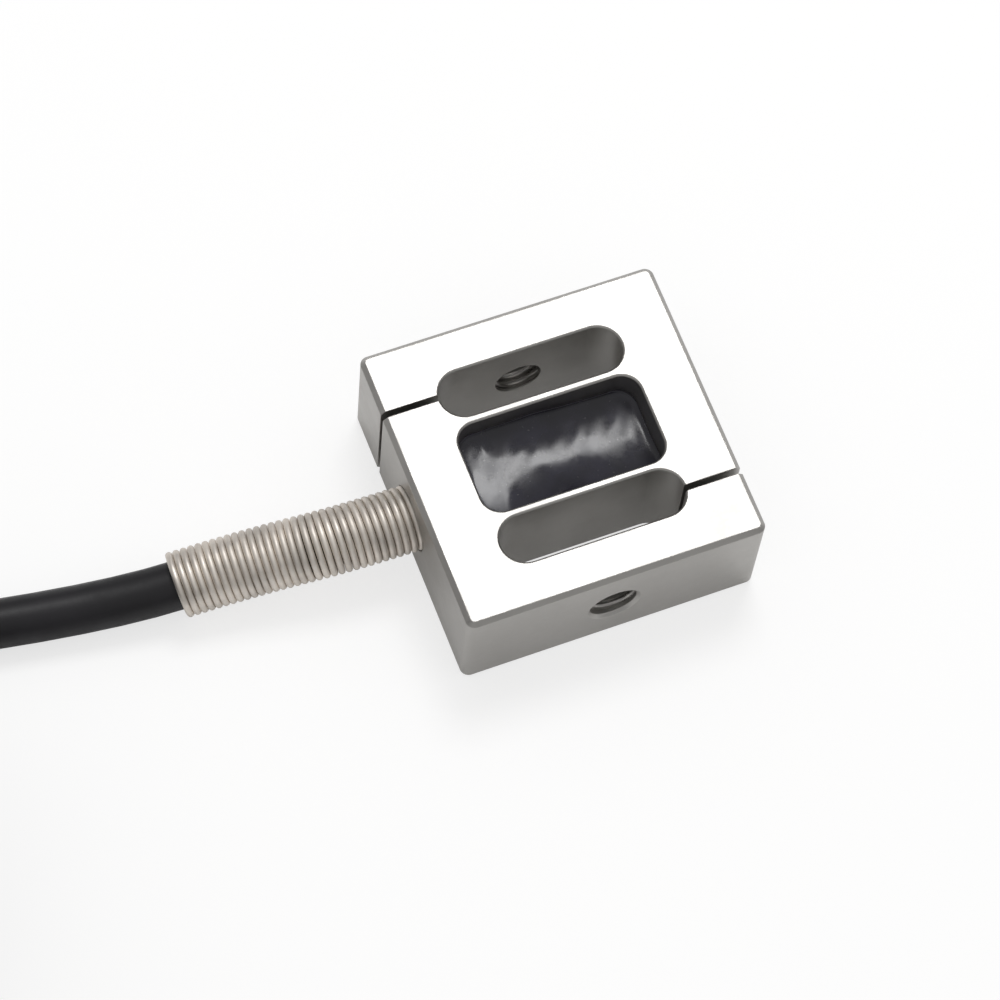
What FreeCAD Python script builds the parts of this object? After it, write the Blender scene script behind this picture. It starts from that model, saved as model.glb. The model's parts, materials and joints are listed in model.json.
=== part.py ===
# Miniature S-beam load cell: a slotted metal body with a potted gauge cavity,
# a close-wound spring as strain relief and a shielded four-core cable, whose
# spare length lies in a tied coil beside the cell.
#
# Millimetres. +Z is up through the thickness, Y is the load axis, and the
# cable leaves towards -X. The origin is the middle of the body's back face.
import FreeCAD
import Part

import math
import os

V = FreeCAD.Vector

# ---------------------------------------------------------------- body
BODY_WIDTH = 19.0
BODY_HEIGHT = 18.75
BODY_THICKNESS = 7.85
CORNER_RADIUS = 0.55
EDGE_CHAMFER = 0.30

CAVITY_LENGTH = 11.7
CAVITY_WIDTH = 6.05
CAVITY_CORNER = 1.25
FLEXURE_THICKNESS = 0.50
SLOT_LENGTH = 11.7
SLOT_WIDTH = 3.06
SLIT_WIDTH = 0.40
SLIT_OUTBOARD = 0.18
BREAK_EDGE = 0.12

THREAD_RADIUS = 1.5
THREAD_MOUTH = 0.20

# ---------------------------------------------------------------- cable
CABLE_DIAMETER = 3.0
CABLE_BORE_CLEARANCE = 0.05
JACKET_STANDS_IN = 0.80
STRAIGHT_EXIT = 3.1

# ---------------------------------------------------------------- strain relief
SPRING_WIRE = 0.48
SPRING_CLEARANCE = 0.10
SPRING_SEAT_DEPTH = 1.20
SPRING_SEAT_CLEARANCE = 0.03

# ---------------------------------------------------------------- gauges and potting
POTTING_SUNK = 2.05
POTTING_DISH = 0.25
POTTING_FEATHER = 0.06
MENISCUS = 0.20
GAUGE_LENGTH = 3.4
GAUGE_WIDTH = 3.2
GAUGE_THICKNESS = 0.10
GAUGE_OFFSET = 2.75
BOARD_LENGTH = 6.0
BOARD_WIDTH = 2.6
BOARD_THICKNESS = 0.8
BOARD_MIDDLE = 0.9
CONDUCTOR_DIAMETER = 0.8
CONDUCTOR_SPACING = 1.1
CONDUCTOR_FILM = 0.05
SOLDER_LENGTH = 0.9
SOLDER_HEIGHT = 0.45
JUMPER_WIDTH = 0.20
JUMPER_SPACING = 0.9
JUMPER_MIDDLE = 1.6

# ---------------------------------------------------------------- coil of spare cable
COIL_X = -60.5
COIL_Y = -10.2
COIL_MID_RADIUS = 15.0
TURN_GAP = 0.12
TURN_COLUMNS = 3
TURN_LAYERS = 5
BUNDLE_CORNER = 0.8
TIE_ANGLES = {"coil_tie_1": 330.0, "coil_tie_2": 95.0}
TIE_WIDTH = 2.4
TIE_THICKNESS = 0.6
TIE_SQUEEZE = 0.3
TIE_HEAD_LENGTH = 4.2
TIE_HEAD_WIDTH = 3.8
TIE_HEAD_HEIGHT = 2.2
TIE_HEAD_CORNER = 0.7
TIE_STUB = 1.6

# ---------------------------------------------------------------- stripped end
END_SLEEVE_LENGTH = 6.0
END_SLEEVE_COVER = 2.8
END_SLEEVE_WALL = 0.35
LEAD_DIAMETER = 0.8
LEAD_OFFSET = 0.47
LEAD_LENGTH = 8.0
LEAD_CORE = 0.4
LEAD_TIP = 3.0
DRAIN_DIAMETER = 0.5

# ---------------------------------------------------------------- worked out from the above
HALF_WIDTH = BODY_WIDTH / 2
HALF_HEIGHT = BODY_HEIGHT / 2
MID_Z = BODY_THICKNESS / 2
SLOT_Y = CAVITY_WIDTH / 2 + FLEXURE_THICKNESS + SLOT_WIDTH / 2
CABLE_RADIUS = CABLE_DIAMETER / 2
SPRING_BORE_RADIUS = CABLE_RADIUS + SPRING_CLEARANCE
SPRING_RADIUS = SPRING_BORE_RADIUS + SPRING_WIRE
JACKET_END_X = -(CAVITY_LENGTH / 2 - JACKET_STANDS_IN)
TURN_PITCH = CABLE_DIAMETER + TURN_GAP
BUNDLE_WIDTH = (TURN_COLUMNS - 1) * TURN_PITCH + CABLE_DIAMETER
BUNDLE_HEIGHT = (TURN_LAYERS - 1) * TURN_PITCH + CABLE_DIAMETER
TAIL_Z = BUNDLE_HEIGHT + CABLE_RADIUS

# The cable's middle line, from its end in the cavity to the coil.
CABLE_ROUTE = [
    V(JACKET_END_X, 0.0, MID_Z),
    V(-HALF_WIDTH - STRAIGHT_EXIT, 0.0, MID_Z),
    V(-19.6, 1.0, 2.78),
    V(-28.0, 1.62, CABLE_RADIUS),
    V(-42.5, 4.2, CABLE_RADIUS),
    V(-56.5, 7.45, CABLE_RADIUS),
]
SPRING_RUNS = 3  # the spring ends in the middle of this run of the route

# The free end's last run, on top of the coil: angle in degrees and distance
# from the coil's middle.
TAIL_ROUTE = [(159.0, 15.6), (200.0, 14.5)]

# The stripped leads: sideways and upward offset where they leave the jacket,
# and how far they have spread sideways at their tips.
LEADS = {
    "lead_red": (LEAD_OFFSET, LEAD_OFFSET, 2.0),
    "lead_green": (LEAD_OFFSET, -LEAD_OFFSET, 0.8),
    "lead_white": (-LEAD_OFFSET, -LEAD_OFFSET, -0.8),
    "lead_black": (-LEAD_OFFSET, LEAD_OFFSET, -2.0),
}


# ---------------------------------------------------------------- helpers
def box(length, width, height, middle):
    """A box centred on a point."""
    corner = middle - V(length, width, height) / 2
    return Part.makeBox(length, width, height, corner)


def outline(length, width, radius, z, y=0.0):
    """A level rectangle with rounded corners; a full radius makes a slot."""
    half_x = length / 2 - radius
    half_y = width / 2 - radius
    corners = [(half_x, half_y), (-half_x, half_y), (-half_x, -half_y), (half_x, -half_y)]
    bends = []
    for quarter, (corner_x, corner_y) in enumerate(corners):
        middle = V(corner_x, y + corner_y, z)
        angles = [math.radians(90 * quarter + step) for step in (0, 45, 90)]
        bends.append([middle + V(math.cos(angle), math.sin(angle), 0) * radius for angle in angles])
    edges = []
    for bend, following in zip(bends, bends[1:] + bends[:1]):
        edges.append(Part.Arc(*bend).toShape())
        if (following[0] - bend[2]).Length > 1e-6:
            edges.append(Part.LineSegment(bend[2], following[0]).toShape())
    return Part.Wire(edges)


def prism(length, width, radius, low_z, high_z, y=0.0):
    """An upright prism on a rounded outline."""
    face = Part.Face(outline(length, width, radius, low_z, y))
    return face.extrude(V(0, 0, high_z - low_z))


def bend_radii(points):
    """The radius of each corner: its tangents take 0.45 of the shorter run."""
    radii = []
    for before, corner, after in zip(points, points[1:], points[2:]):
        run = min((corner - before).Length, (after - corner).Length)
        turn = (corner - before).getAngle(after - corner)
        radii.append(0.45 * run / math.tan(turn / 2))
    return radii


def route_wire(points, radii):
    """Straight runs joined by tangent arcs."""
    edges = []
    start = points[0]
    for before, corner, after, radius in zip(points, points[1:], points[2:], radii):
        back = (before - corner).normalize()
        onward = (after - corner).normalize()
        half_turn = (math.pi - back.getAngle(onward)) / 2
        reach = radius * math.tan(half_turn)
        first = corner + back * reach
        last = corner + onward * reach
        inward = (back + onward).normalize()
        middle = corner + inward * radius * (1 / math.cos(half_turn) - 1)
        edges.append(Part.LineSegment(start, first).toShape())
        edges.append(Part.Arc(first, middle, last).toShape())
        start = last
    edges.append(Part.LineSegment(start, points[-1]).toShape())
    return Part.Wire(edges)


def tube(points, radii, radius):
    """A round bar that follows a route with the given bends."""
    path = route_wire(points, radii)
    section = Part.Wire(Part.makeCircle(radius, points[0], points[1] - points[0]).Edges)
    sweep = Part.BRepOffsetAPI.MakePipeShell(path)
    sweep.add(section)
    sweep.build()
    sweep.makeSolid()
    return sweep.shape()


def coil_point(angle, distance, z):
    """A point from its angle and distance about the coil's middle."""
    turn = math.radians(angle)
    return V(COIL_X + distance * math.cos(turn), COIL_Y + distance * math.sin(turn), z)


def export(name, shape):
    """Write one node, and stop if its solids aren't sound."""
    if not shape.Solids or not shape.isValid():
        raise ValueError(name + " is not a valid solid")
    shape.exportStep("parts/" + name + ".step")


# ---------------------------------------------------------------- body
def body_block():
    """The bar stock with rounded upright edges and chamfered faces."""
    block = prism(BODY_WIDTH, BODY_HEIGHT, CORNER_RADIUS, 0, BODY_THICKNESS)
    rims = [edge for edge in block.Edges if edge.BoundBox.ZLength < 1e-6]
    return block.makeChamfer(EDGE_CHAMFER, rims)


def window(length, width, radius, y=0.0):
    """A cutter for an opening through the thickness, flared where its edges are broken."""
    cutter = prism(length, width, radius, -1, BODY_THICKNESS + 1, y)
    wide = (length + 2 * BREAK_EDGE, width + 2 * BREAK_EDGE, radius + BREAK_EDGE)
    for face_z, inner_z in ((0, BREAK_EDGE), (BODY_THICKNESS, BODY_THICKNESS - BREAK_EDGE)):
        mouths = [outline(*wide, face_z, y), outline(length, width, radius, inner_z, y)]
        cutter = cutter.fuse(Part.makeLoft(mouths, True))
    return cutter


def slit(side):
    """The saw cut that frees one end bar: side +1 opens to -X, side -1 to +X."""
    y = side * (SLOT_Y + SLIT_OUTBOARD)
    middle = V(-side * (HALF_WIDTH + 1) / 2, y, MID_Z)
    return box(HALF_WIDTH + 1, SLIT_WIDTH, BODY_THICKNESS + 2, middle)


def load_hole(side):
    """The threaded hole of one end bar, as wide as the thread, with a chamfered mouth."""
    out = V(0, side, 0)
    face = V(0, side * HALF_HEIGHT, MID_Z)
    hole = Part.makeCylinder(THREAD_RADIUS, HALF_HEIGHT - SLOT_Y, face, out * -1)
    mouth = Part.makeCone(THREAD_RADIUS + THREAD_MOUTH, THREAD_RADIUS, THREAD_MOUTH, face, out * -1)
    return hole.fuse(mouth)


def cable_entry():
    """The cable's bore through the side wall, with the spring's seat sunk in the face."""
    face = V(-HALF_WIDTH, 0, MID_Z)
    bore = Part.makeCylinder(CABLE_RADIUS + CABLE_BORE_CLEARANCE, HALF_WIDTH, face, V(1, 0, 0))
    seat = Part.makeCylinder(SPRING_RADIUS + SPRING_SEAT_CLEARANCE, SPRING_SEAT_DEPTH, face, V(1, 0, 0))
    return bore.fuse(seat)


def make_body():
    """The one-piece spring element: three windows, two slits and its holes."""
    body = body_block().cut(window(CAVITY_LENGTH, CAVITY_WIDTH, CAVITY_CORNER))
    body = body.cut(cable_entry())
    for side in (1, -1):
        body = body.cut(window(SLOT_LENGTH, SLOT_WIDTH, SLOT_WIDTH / 2, side * SLOT_Y))
        body = body.cut(slit(side))
        body = body.cut(load_hole(side))
    return body.removeSplitter()


# ---------------------------------------------------------------- inside the cavity
def make_gauges():
    """Four foil gauges on the cavity's long walls, over the ends of the thin beams."""
    gauges = {}
    gauge_y = CAVITY_WIDTH / 2 - GAUGE_THICKNESS / 2
    for row, side_y in (("upper", 1), ("lower", -1)):
        for column, side_x in (("left", -1), ("right", 1)):
            middle = V(side_x * GAUGE_OFFSET, side_y * gauge_y, MID_Z)
            name = "strain_gauge_" + row + "_" + column
            gauges[name] = box(GAUGE_LENGTH, GAUGE_THICKNESS, GAUGE_WIDTH, middle)
    return gauges


def make_board():
    """The terminal board in the middle of the cavity."""
    return box(BOARD_LENGTH, BOARD_WIDTH, BOARD_THICKNESS, V(BOARD_MIDDLE, 0, MID_Z))


def conductor_axis(side_y, side_z):
    """Where a conductor leaves the jacket: a film of compound lies between it and the board."""
    offset_z = (BOARD_THICKNESS + CONDUCTOR_DIAMETER) / 2 + CONDUCTOR_FILM
    return V(JACKET_END_X, side_y * CONDUCTOR_SPACING / 2, MID_Z + side_z * offset_z)


def make_conductors():
    """The four insulated cores between the jacket's end and their solder joints."""
    sides = {"red": (1, 1), "black": (-1, 1), "green": (1, -1), "white": (-1, -1)}
    cores = {}
    joints = []
    length = BOARD_MIDDLE - BOARD_LENGTH / 2 + SOLDER_LENGTH - JACKET_END_X
    for colour, (side_y, side_z) in sides.items():
        start = conductor_axis(side_y, side_z)
        name = "conductor_" + colour
        cores[name] = Part.makeCylinder(CONDUCTOR_DIAMETER / 2, length, start, V(1, 0, 0))
        joint = start + V(length + SOLDER_LENGTH / 2, 0, 0)
        joint.z = MID_Z + side_z * (BOARD_THICKNESS + SOLDER_HEIGHT) / 2
        joints.append(box(SOLDER_LENGTH, CONDUCTOR_DIAMETER, SOLDER_HEIGHT, joint))
    return cores, Part.makeCompound(joints)


def make_jumpers():
    """Fine ribbon wires, two from each gauge, across to the board's long edges."""
    wires = []
    length = CAVITY_WIDTH / 2 - GAUGE_THICKNESS - BOARD_WIDTH / 2
    for side_x in (-1, 1):
        for side_y in (-1, 1):
            for tab in (-1, 1):
                x = side_x * JUMPER_MIDDLE + tab * JUMPER_SPACING / 2
                middle = V(x, side_y * (BOARD_WIDTH + length) / 2, MID_Z)
                wires.append(box(JUMPER_WIDTH, length, JUMPER_WIDTH, middle))
    return Part.makeCompound(wires)


def make_potting(embedded):
    """The compound that fills the cavity round its contents, dished at both faces."""
    low_z = POTTING_SUNK
    high_z = BODY_THICKNESS - POTTING_SUNK
    potting = prism(CAVITY_LENGTH, CAVITY_WIDTH, CAVITY_CORNER, low_z, high_z)
    length = CAVITY_LENGTH - 2 * POTTING_FEATHER
    width = CAVITY_WIDTH - 2 * POTTING_FEATHER
    corner = CAVITY_CORNER - POTTING_FEATHER
    for floor_z, open_z in ((high_z - POTTING_DISH, high_z + 1), (low_z + POTTING_DISH, low_z - 1)):
        dish = prism(length, width, corner, floor_z, open_z)
        rim = [e for e in dish.Edges if abs(e.BoundBox.Center.z - floor_z) + e.BoundBox.ZLength < 1e-6]
        potting = potting.cut(dish.makeChamfer(MENISCUS, rim))
    for piece in embedded:
        potting = potting.cut(piece)
    return potting


# ---------------------------------------------------------------- cable and strain relief
def make_spring(radii):
    """The close-wound spring round the cable, seated in the side face."""
    last = (CABLE_ROUTE[SPRING_RUNS - 1] + CABLE_ROUTE[SPRING_RUNS]) / 2
    seat = V(-HALF_WIDTH + SPRING_SEAT_DEPTH, 0, MID_Z)
    route = [seat] + CABLE_ROUTE[1:SPRING_RUNS] + [last]
    bends = radii[:SPRING_RUNS - 1]
    return tube(route, bends, SPRING_RADIUS).cut(tube(route, bends, SPRING_BORE_RADIUS))


def upright_section(width, low_z, high_z, corner):
    """A face across the bundle, with its top corners cut: X is outward, Z is up."""
    low = [(-width / 2, low_z), (width / 2, low_z)]
    high = [(width / 2, high_z - corner), (width / 2 - corner, high_z)]
    across = low + high + [(-x, z) for x, z in reversed(high)]
    corners = [V(COIL_MID_RADIUS + x, 0, z) for x, z in across]
    return Part.Face(Part.makePolygon(corners + corners[:1]))


def placed(shape, angle):
    """A shape drawn across the bundle at angle zero, set in its place on the coil."""
    moved = shape.copy()
    moved.rotate(V(0, 0, 0), V(0, 0, 1), angle)
    moved.translate(V(COIL_X, COIL_Y, 0))
    return moved


def neck():
    """The squeezed bundle inside a tie, as wide as the tie."""
    width = BUNDLE_WIDTH - 2 * TIE_SQUEEZE
    face = upright_section(width, TIE_THICKNESS, BUNDLE_HEIGHT - TIE_SQUEEZE, BUNDLE_CORNER)
    face.translate(V(0, TIE_WIDTH / 2, 0))
    return face.extrude(V(0, -TIE_WIDTH, 0))


def make_coil():
    """The outer shape of the wound cable, necked in where the ties squeeze it."""
    section = upright_section(BUNDLE_WIDTH, 0, BUNDLE_HEIGHT, BUNDLE_CORNER)
    ring = section.revolve(V(0, 0, 0), V(0, 0, 1), 360)
    ring.translate(V(COIL_X, COIL_Y, 0))
    slab = box(2 * BUNDLE_WIDTH, TIE_WIDTH, 2 * BUNDLE_HEIGHT, V(COIL_MID_RADIUS, 0, BUNDLE_HEIGHT / 2))
    for angle in TIE_ANGLES.values():
        ring = ring.cut(placed(slab, angle)).fuse(placed(neck(), angle))
    return ring.removeSplitter()


def make_tie(angle):
    """A nylon tie: its band lies in the neck, and its head and cut tail on top."""
    width = BUNDLE_WIDTH + 2 * (TIE_THICKNESS - TIE_SQUEEZE)
    top_z = BUNDLE_HEIGHT + TIE_THICKNESS - TIE_SQUEEZE
    face = upright_section(width, 0, top_z, BUNDLE_CORNER + TIE_THICKNESS)
    face.translate(V(0, TIE_WIDTH / 2, 0))
    band = face.extrude(V(0, -TIE_WIDTH, 0))
    head_middle = V(COIL_MID_RADIUS, 0, top_z + TIE_HEAD_HEIGHT / 2)
    head = box(TIE_HEAD_LENGTH, TIE_HEAD_WIDTH, TIE_HEAD_HEIGHT, head_middle)
    upright = [edge for edge in head.Edges if edge.BoundBox.ZLength > TIE_HEAD_HEIGHT / 2]
    head = head.makeFillet(TIE_HEAD_CORNER, upright)
    stub_middle = V(COIL_MID_RADIUS + 1, 0, top_z + TIE_HEAD_HEIGHT + TIE_STUB / 2)
    stub = box(TIE_THICKNESS, TIE_WIDTH, TIE_STUB, stub_middle)
    tie = band.fuse(head).fuse(stub).cut(neck())
    return placed(tie.removeSplitter(), angle)


def make_cable(radii, coil):
    """The jacketed cable from the cavity to where it joins the coil."""
    return tube(CABLE_ROUTE, radii, CABLE_RADIUS).cut(coil)


# ---------------------------------------------------------------- free end
def tail_run():
    """Both ends of the free end's last run; the end sleeve lifts it off the turns."""
    return [coil_point(angle, distance, TAIL_Z + END_SLEEVE_WALL) for angle, distance in TAIL_ROUTE]


def bar(radius, start, end):
    """A straight round bar between two points."""
    return Part.makeCylinder(radius, (end - start).Length, start, end - start)


def make_end_sleeve():
    """Shrunk sleeving over the end of the jacket."""
    before, end = tail_run()
    along = (end - before).normalize()
    start = end - along * END_SLEEVE_COVER
    sleeve = Part.makeCylinder(CABLE_RADIUS + END_SLEEVE_WALL, END_SLEEVE_LENGTH, start, along)
    return sleeve.cut(Part.makeCylinder(CABLE_RADIUS, END_SLEEVE_LENGTH, start, along))


def lead_run(sideways, upward, spread):
    """Both ends of a lead and its tip, sloping down until the lower tips touch the turns."""
    before, end = tail_run()
    along = (end - before).normalize()
    outward = along.cross(V(0, 0, 1))
    drop = END_SLEEVE_WALL + CABLE_RADIUS - LEAD_OFFSET - LEAD_CORE / 2
    start = end + outward * sideways + V(0, 0, upward)
    return start, start + along * (LEAD_LENGTH + LEAD_TIP) + outward * spread - V(0, 0, drop)


def make_leads(tail):
    """The four coloured leads, seated on the jacket's end, and their bare tinned tips."""
    leads = {}
    tips = []
    for name, place in LEADS.items():
        start, tip_end = lead_run(*place)
        strip = start + (tip_end - start) * LEAD_LENGTH / (LEAD_LENGTH + LEAD_TIP)
        leads[name] = bar(LEAD_DIAMETER / 2, start, strip).cut(tail)
        tips.append(bar(LEAD_CORE / 2, strip, tip_end))
    return leads, Part.makeCompound(tips)


# ---------------------------------------------------------------- everything
def make_nodes():
    """Every piece of the load cell, by name."""
    radii = bend_radii(CABLE_ROUTE)
    coil = make_coil()
    cable = make_cable(radii, coil)
    conductors, solder_joints = make_conductors()
    gauges = make_gauges()
    board = make_board()
    jumpers = make_jumpers()
    tail = bar(CABLE_RADIUS, *tail_run())
    leads, tips = make_leads(tail)
    embedded = [cable, board, solder_joints, jumpers, *conductors.values(), *gauges.values()]
    nodes = {
        "s_beam_body": make_body(),
        "potting_compound": make_potting(embedded),
        "terminal_board": board,
        "solder_joints": solder_joints,
        "jumper_wires": jumpers,
        "strain_relief_spring": make_spring(radii),
        "cable": cable,
        "cable_coil": coil,
        "cable_tail": tail,
        "end_sleeve": make_end_sleeve(),
        "drain_wire": bar(DRAIN_DIAMETER / 2, *lead_run(0, 0, 0)).cut(tail),
        "lead_tips": tips,
    }
    nodes.update({name: make_tie(angle) for name, angle in TIE_ANGLES.items()})
    nodes.update(gauges)
    nodes.update(conductors)
    nodes.update(leads)
    return nodes


os.makedirs("parts", exist_ok=True)
for node_name, node_shape in make_nodes().items():
    export(node_name, node_shape)
print("cable bend radii, mm:", [round(radius, 1) for radius in bend_radii(CABLE_ROUTE)])
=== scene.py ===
"""Miniature S-beam load cell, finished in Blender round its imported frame.

The body, the gauges and the parts in the cavity come from the frame. The
threads, the potting compound, the spring, the cable with its coil, the ties
and the stripped end are built here, a group of like pieces to an operator.
Everything is in metres, on the axes of the frame.
"""
import bisect
import json
import math

import bmesh
import bpy
from bpy.props import FloatProperty, FloatVectorProperty, IntProperty, PointerProperty
from mathutils import Matrix, Vector


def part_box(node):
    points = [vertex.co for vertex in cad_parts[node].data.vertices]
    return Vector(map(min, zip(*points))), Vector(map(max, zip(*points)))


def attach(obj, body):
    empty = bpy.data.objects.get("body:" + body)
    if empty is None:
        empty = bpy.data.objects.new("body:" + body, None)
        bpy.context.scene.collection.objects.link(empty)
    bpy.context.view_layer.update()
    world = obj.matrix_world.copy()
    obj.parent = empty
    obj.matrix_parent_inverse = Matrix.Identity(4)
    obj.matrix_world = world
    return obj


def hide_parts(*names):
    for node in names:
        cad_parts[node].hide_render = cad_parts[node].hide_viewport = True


bl_info = {
    "name": "S-Beam Load Cell",
    "version": (1, 0, 0),
    "blender": (4, 5, 0),
    "location": "View3D > Sidebar > Load Cell",
    "description": "Finishes a miniature S-beam load cell with its spring and coiled cable",
    "category": "Add Mesh",
}

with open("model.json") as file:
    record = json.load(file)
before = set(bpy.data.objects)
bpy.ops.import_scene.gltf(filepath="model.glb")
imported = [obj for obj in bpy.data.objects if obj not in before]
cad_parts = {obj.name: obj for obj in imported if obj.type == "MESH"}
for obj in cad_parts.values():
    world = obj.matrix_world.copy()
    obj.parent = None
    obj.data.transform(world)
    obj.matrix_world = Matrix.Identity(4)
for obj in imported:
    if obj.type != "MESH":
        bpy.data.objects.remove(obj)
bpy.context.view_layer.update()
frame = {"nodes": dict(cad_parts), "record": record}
MM = 0.001


# ---- places from the frame
def node_box(name):
    """A node's lowest and highest corners."""
    return [Vector(corner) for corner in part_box(name)]


BODY_LOW, BODY_HIGH = node_box("s_beam_body")
SPRING_LOW, SPRING_HIGH = node_box("strain_relief_spring")
POTTING_LOW, POTTING_HIGH = node_box("potting_compound")
COIL_LOW, COIL_HIGH = node_box("cable_coil")
COIL_MIDDLE = (COIL_LOW + COIL_HIGH) / 2
COIL_TOP = COIL_HIGH.z
MOUNTS = {mount["name"]: mount for mount in frame["record"]["mounts"]}

# ---- the cable's route
CABLE_RADIUS = 1.5 * MM
TURN_PITCH = 3.12 * MM
TURN_COLUMNS = 3
TURN_LAYERS = 5
COIL_MID_RADIUS = 15.0 * MM

CABLE_ROUTE = [Vector(point) * MM for point in (
    (-5.05, 0.0, 3.925), (-12.6, 0.0, 3.925), (-19.6, 1.0, 2.78),
    (-28.0, 1.62, 1.5), (-42.5, 4.2, 1.5), (-56.5, 7.45, 1.5))]

# The free end, in degrees and millimetres: from the top inner turn up and across
# to where it lies on the coil, as angle, distance from the coil's middle and
# height over its top.
CLIMB_ROUTE = [
    (104.0, 11.95, -1.45), (117.0, 12.05, -1.0), (133.0, 12.5, 0.15),
    (148.8, 12.9, 1.25), (164.3, 13.5, 1.8)]
TAIL_ROUTE = [(180.0, 14.1, 1.85), (200.0, 14.5, 1.85)]

# ---- the ties
TIE_ANGLES = {"coil_tie_1": 330.0, "coil_tie_2": 95.0}
TIE_SQUEEZE = 0.3 * MM
TIE_THICKNESS = 0.6 * MM
# How far round from a tie the turns start to draw in, and over how much, in degrees.
TIE_REACH = 22.0
TIE_EASE = 16.0
# The head, and the rim of its slot, which stands a step over the rest of it.
HEAD_REACH = 2.1 * MM
HEAD_WIDTH = 3.8 * MM
HEAD_HEIGHT = 2.2 * MM
RIM_NEAR = -1.8 * MM
RIM_FAR = -0.6 * MM
RIM_HEIGHT = 0.5 * MM
RIM_STEP = 0.2 * MM
# The band's cut end: how far out it stands on the head, how deep in and how high over it.
STUB_OUT = 0.7 * MM
STUB_DEPTH = 0.3 * MM
STUB_HEIGHT = 1.55 * MM
STUB_FIT = 0.98
TOOTH_ROOT = 0.62
TOOTH_RAMP = 0.92

# ---- the stripped end
# In millimetres: sideways and upward offset of each wire where it leaves the
# jacket, then sideways place and height over the turns as it settles, and at its tip.
LEADS = {
    "lead_red": (0.47, 0.47, 0.95, 1.12, 1.40, 0.42),
    "lead_green": (0.47, -0.47, 0.48, 0.60, 0.40, 0.40),
    "lead_white": (-0.47, -0.47, -0.75, 0.58, -1.75, 0.40),
    "lead_black": (-0.47, 0.47, -1.35, 1.08, -2.95, 0.42),
}
DRAIN_WIRE = (0.0, 0.0, -0.12, 0.95, -0.66, 0.45)
LEAD_LENGTH = 8.0
LEAD_TIP = 3.0

STRANDS = 3
TIP_LAY = 2.6 * MM
TIP_STRAND_PLACE = 0.55
DRAIN_LAY = 2.4 * MM
DRAIN_STRAND_RADIUS = 0.12 * MM
DRAIN_STRAND_PLACE = 0.13 * MM

# The sleeve's section, in millimetres: along it, and in from its full radius.
SLEEVE_WALL = 0.35
SLEEVE_BACK = 2.8
SLEEVE_PROFILE = [
    (0.0, SLEEVE_WALL), (0.0, 0.20), (0.12, 0.05), (0.5, 0.0), (1.5, 0.02), (2.6, 0.0),
    (3.1, 0.09), (3.7, 0.24), (4.6, 0.30), (5.6, 0.26), (5.95, 0.30), (6.0, 0.38),
    (5.9, 0.46), (4.6, 0.50), (3.1, 0.42), (SLEEVE_BACK, SLEEVE_WALL),
]

# ---- the threads' ridges
# The foot lies a little in the wall. Half widths of foot and crest are in pitches,
# the fades at the first and last end in turns, and the least height in heights.
RIDGE_SINK = 0.03 * MM
RIDGE_FOOT = 0.44
RIDGE_CREST = 0.07
RIDGE_FIRST_FADE = 0.12
RIDGE_LAST_FADE = 0.6
RIDGE_LEAST = 0.12
RIDGE_STEPS = 56

# ---- the compound's face
CAVITY_CORNER = 1.25 * MM
CORNER_STEPS = 14
LONG_SIDE_STEPS = 60
SHORT_SIDE_STEPS = 20
RING_SPREAD = 0.8

# ---- small shapes
# A round bar's ends, rounded off: distance in from the end and size, in radii.
BAR_END = ((0.0, 0.35), (0.0, 0.8), (0.35, 1.0))
LINE_STEPS = 24
TIE_EDGE = 0.12 * MM
TIE_CORNER_STEPS = 7

# ---- the stage
CAMERA_PLACE = (-0.05149, -0.08976, 0.22278)
CAMERA_AXES = (
    (0.93154, 0.30558, -0.19711),
    (-0.35930, 0.85691, -0.36961),
    (0.05596, 0.41513, 0.90804),
)
SENSOR_WIDTH = 36.0
KEY_PLACE = (0.089, 0.166, 0.416)
FLOOR_REACH = 1.5
# How much of the floor's plain white a mirroring surface sees.
MIRRORED_SHARE = 0.2
# Where the sky changes from its horizon to its brightness overhead.
SKY_LOW = 0.10
SKY_HIGH = 0.75
SKY_COLOUR = (1.0, 0.995, 0.99, 1.0)
WHITE = (1.0, 1.0, 1.0, 1.0)
BLACK = (0.0, 0.0, 0.0, 1.0)

# ---- settings
def setting_kind(kind, **shared):
    """A maker of settings of one kind, each with its name, description and default."""
    def make(name, description, default, **own):
        return kind(name=name, description=description, default=default, **shared, **own)
    return make


a_length = setting_kind(FloatProperty, subtype="DISTANCE", unit="LENGTH", precision=6)
an_angle = setting_kind(FloatProperty, subtype="ANGLE", unit="ROTATION")
a_colour = setting_kind(FloatVectorProperty, subtype="COLOR", size=3, min=0.0, max=1.0)
a_level = setting_kind(FloatProperty, min=0.0)
a_count = setting_kind(IntProperty)


class BodySettings(bpy.types.PropertyGroup):
    steel: a_colour("Steel", "Colour of the machined body", (0.50, 0.488, 0.468))
    grain: a_length("Grain", "Height of the fine grain left by finishing", 0.004 * MM)
    thread_pitch: a_length("Thread Pitch", "Distance between the threads' ridges", 0.5 * MM)
    thread_crest: a_length("Thread Crest", "Radius at the threads' crests", 1.25 * MM)


class PottingSettings(bpy.types.PropertyGroup):
    compound: a_colour("Compound", "Colour of the potting compound", (0.008, 0.0075, 0.014))
    dish: a_length("Dish", "How far the compound sinks below its rim", 0.30 * MM)
    slant: a_length("Slant", "How much deeper it lies away from the cable", 0.30 * MM)
    rings: a_count("Rings", "Rings of points across its face", 56, min=8, max=96)


class SpringSettings(bpy.types.PropertyGroup):
    wire: a_length("Wire", "Diameter of the spring wire", 0.45 * MM)
    clearance: a_length("Clearance", "Gap between the spring and the cable", 0.13 * MM)
    points_per_turn: a_count("Points per Turn", "Points of the helix in each turn",
                             20, min=8, max=48)
    end_turn: an_angle("End Turn", "Where the wire ends: a quarter turn is below the cable",
                       math.pi / 2)
    colour: a_colour("Wire Colour", "Colour of the drawn wire", (0.84, 0.785, 0.72))


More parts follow.
